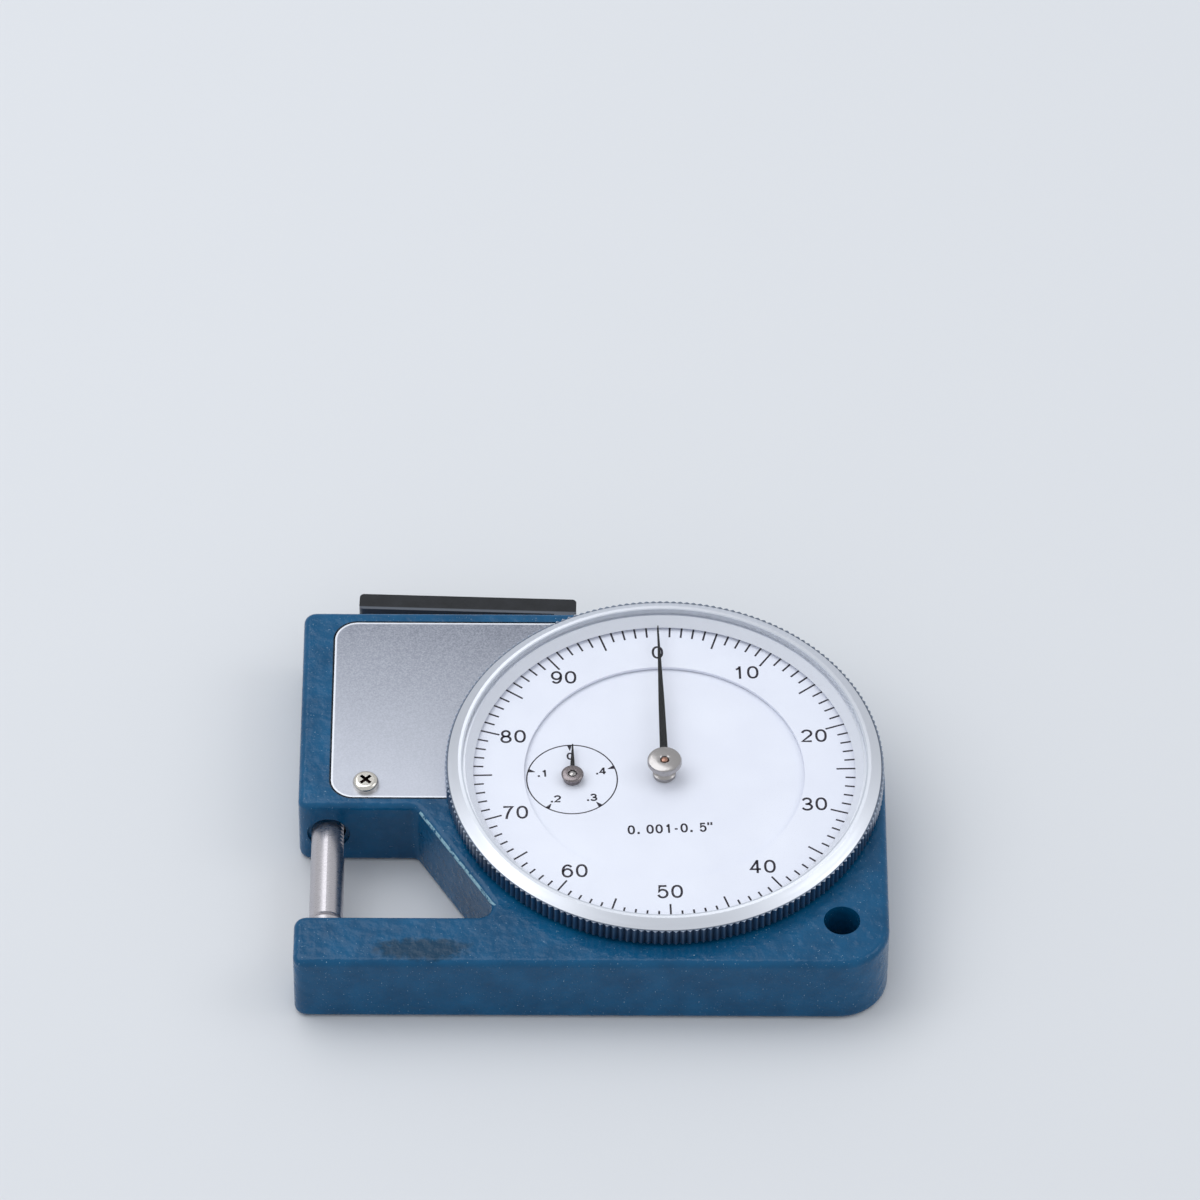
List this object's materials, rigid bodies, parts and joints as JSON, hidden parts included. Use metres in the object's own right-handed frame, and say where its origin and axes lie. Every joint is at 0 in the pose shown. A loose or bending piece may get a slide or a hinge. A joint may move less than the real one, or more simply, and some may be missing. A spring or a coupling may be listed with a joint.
{
  "type": "pocket thickness gauge",
  "caption": "Pocket dial gauge for sheet thickness: a cast C-frame with jaws, a sprung rack spindle, a thumb lifting lever and a turning bezel round a white dial.",
  "frame": {"origin": "on the dial axis, in the flat back face of the casting", "axes": "+X from the jaws' open end to the dial side, +Y towards the thumb lever and along the spindle as it lifts, +Z out of the dial"},
  "size_m": [0.0764, 0.0659, 0.016],
  "materials": {
    "blue_paint": "gloss enamel with slight orange peel",
    "satin_plate": "satin, fine grained",
    "turned_aluminium": "turned, bright",
    "bright_nickel": "polished nickel",
    "polished_steel": "ground and polished",
    "plain_steel": "turned",
    "spring_steel": "blued grey",
    "brass_sheet": "stamped and turned",
    "dial_white": "satin white with printed scale",
    "hand_black": "satin black",
    "clear_crystal": "clear acrylic",
    "gasket_rubber": "matt",
    "dark_lever": "satin black",
    "zinc_steel": "pressed sheet"
  },
  "bodies": {
    "frame": {"cast_frame": "blue_paint", "anvil": "polished_steel", "lower_guide_bush": "brass_sheet", "cover_plate": "satin_plate", "cover_screw": "bright_nickel", "dial_seat_ring": "turned_aluminium", "seat_ring_screws": "plain_steel", "bezel_wire": "spring_steel", "inner_dial": "dial_white", "movement_base_plate": "brass_sheet", "movement_top_plate": "brass_sheet", "plate_pillars": "plain_steel", "plate_screws": "plain_steel", "idler_studs": "plain_steel", "hairspring": "spring_steel", "hairspring_stud": "plain_steel", "lift_arm_stud": "plain_steel", "return_spring": "spring_steel", "thumb_lever_pin": "plain_steel"},
    "bezel_group": {"bezel": "turned_aluminium", "crystal": "clear_crystal", "crystal_gasket": "gasket_rubber", "graduated_ring": "dial_white"},
    "spindle_group": {"spindle": "polished_steel", "lift_pin": "plain_steel"},
    "lift_arm_group": {"lift_arm": "zinc_steel", "lift_peg": "plain_steel"},
    "thumb_lever_group": {"thumb_lever": "dark_lever"},
    "rack_arbor_group": {"rack_arbor": "plain_steel", "rack_pinion": "plain_steel", "first_wheel": "brass_sheet"},
    "idler_one_group": {"idler_wheel_one": "brass_sheet"},
    "idler_two_group": {"idler_wheel_two": "brass_sheet"},
    "counter_group": {"counter_arbor": "plain_steel", "counter_wheel": "brass_sheet", "great_wheel": "brass_sheet", "counter_hand": "hand_black", "counter_hub": "bright_nickel"},
    "centre_group": {"centre_arbor": "plain_steel", "centre_pinion": "plain_steel", "main_hand": "hand_black", "main_hub": "bright_nickel"}
  },
  "joints": [
    {"name": "spindle_slide", "type": "slide", "parent": "frame", "child": "spindle_group", "axis": [0, 1, 0], "range_m": [0, 0.0127], "stiffness_N_per_m": 60, "springref_m": -0.015},
    {"name": "bezel_turn", "type": "hinge", "parent": "frame", "child": "bezel_group", "pos_m": [0, 0, 0.012], "axis": [0, 0, 1], "continuous": true},
    {"name": "lift_arm_swing", "type": "hinge", "parent": "frame", "child": "lift_arm_group", "pos_m": [0.0016, 0.01655, 0.0055], "axis": [0, 0, 1], "range_deg": [-18, 0.1], "deforming": ["return_spring"]},
    {"name": "thumb_press", "type": "hinge", "parent": "frame", "child": "thumb_lever_group", "pos_m": [-0.0115, 0.026, 0.0076], "axis": [0, 0, 1], "range_deg": [-0.1, 5]},
    {"name": "rack_arbor_turn", "type": "hinge", "parent": "frame", "child": "rack_arbor_group", "pos_m": [-0.03993, 0.0055, 0.0055], "axis": [0, 0, 1], "range_deg": [-361, 1]},
    {"name": "idler_one_turn", "type": "hinge", "parent": "frame", "child": "idler_one_group", "pos_m": [-0.03168, 0.0055, 0.0025], "axis": [0, 0, 1], "range_deg": [-1, 158]},
    {"name": "idler_two_turn", "type": "hinge", "parent": "frame", "child": "idler_two_group", "pos_m": [-0.01951, 0.0041, 0.0025], "axis": [0, 0, 1], "range_deg": [-140, 1]},
    {"name": "counter_turn", "type": "hinge", "parent": "frame", "child": "counter_group", "pos_m": [-0.01197, -0.00082, 0.0055], "axis": [0, 0, 1], "range_deg": [-1, 361], "deforming": ["hairspring"]},
    {"name": "centre_turn", "type": "hinge", "parent": "frame", "child": "centre_group", "pos_m": [0, 0, 0.0055], "axis": [0, 0, 1], "range_deg": [-1801, 1]}
  ],
  "couplings": [
    {"joint": "lift_arm_swing", "follows": "spindle_slide", "rad_per_m": -24.374},
    {"joint": "thumb_press", "follows": "spindle_slide", "rad_per_m": 6.5399},
    {"joint": "rack_arbor_turn", "follows": "spindle_slide", "rad_per_m": -494.74},
    {"joint": "idler_one_turn", "follows": "spindle_slide", "rad_per_m": 215.1},
    {"joint": "idler_two_turn", "follows": "spindle_slide", "rad_per_m": -190.28},
    {"joint": "counter_turn", "follows": "spindle_slide", "rad_per_m": 494.74},
    {"joint": "centre_turn", "follows": "spindle_slide", "rad_per_m": -2473.7}
  ]
}
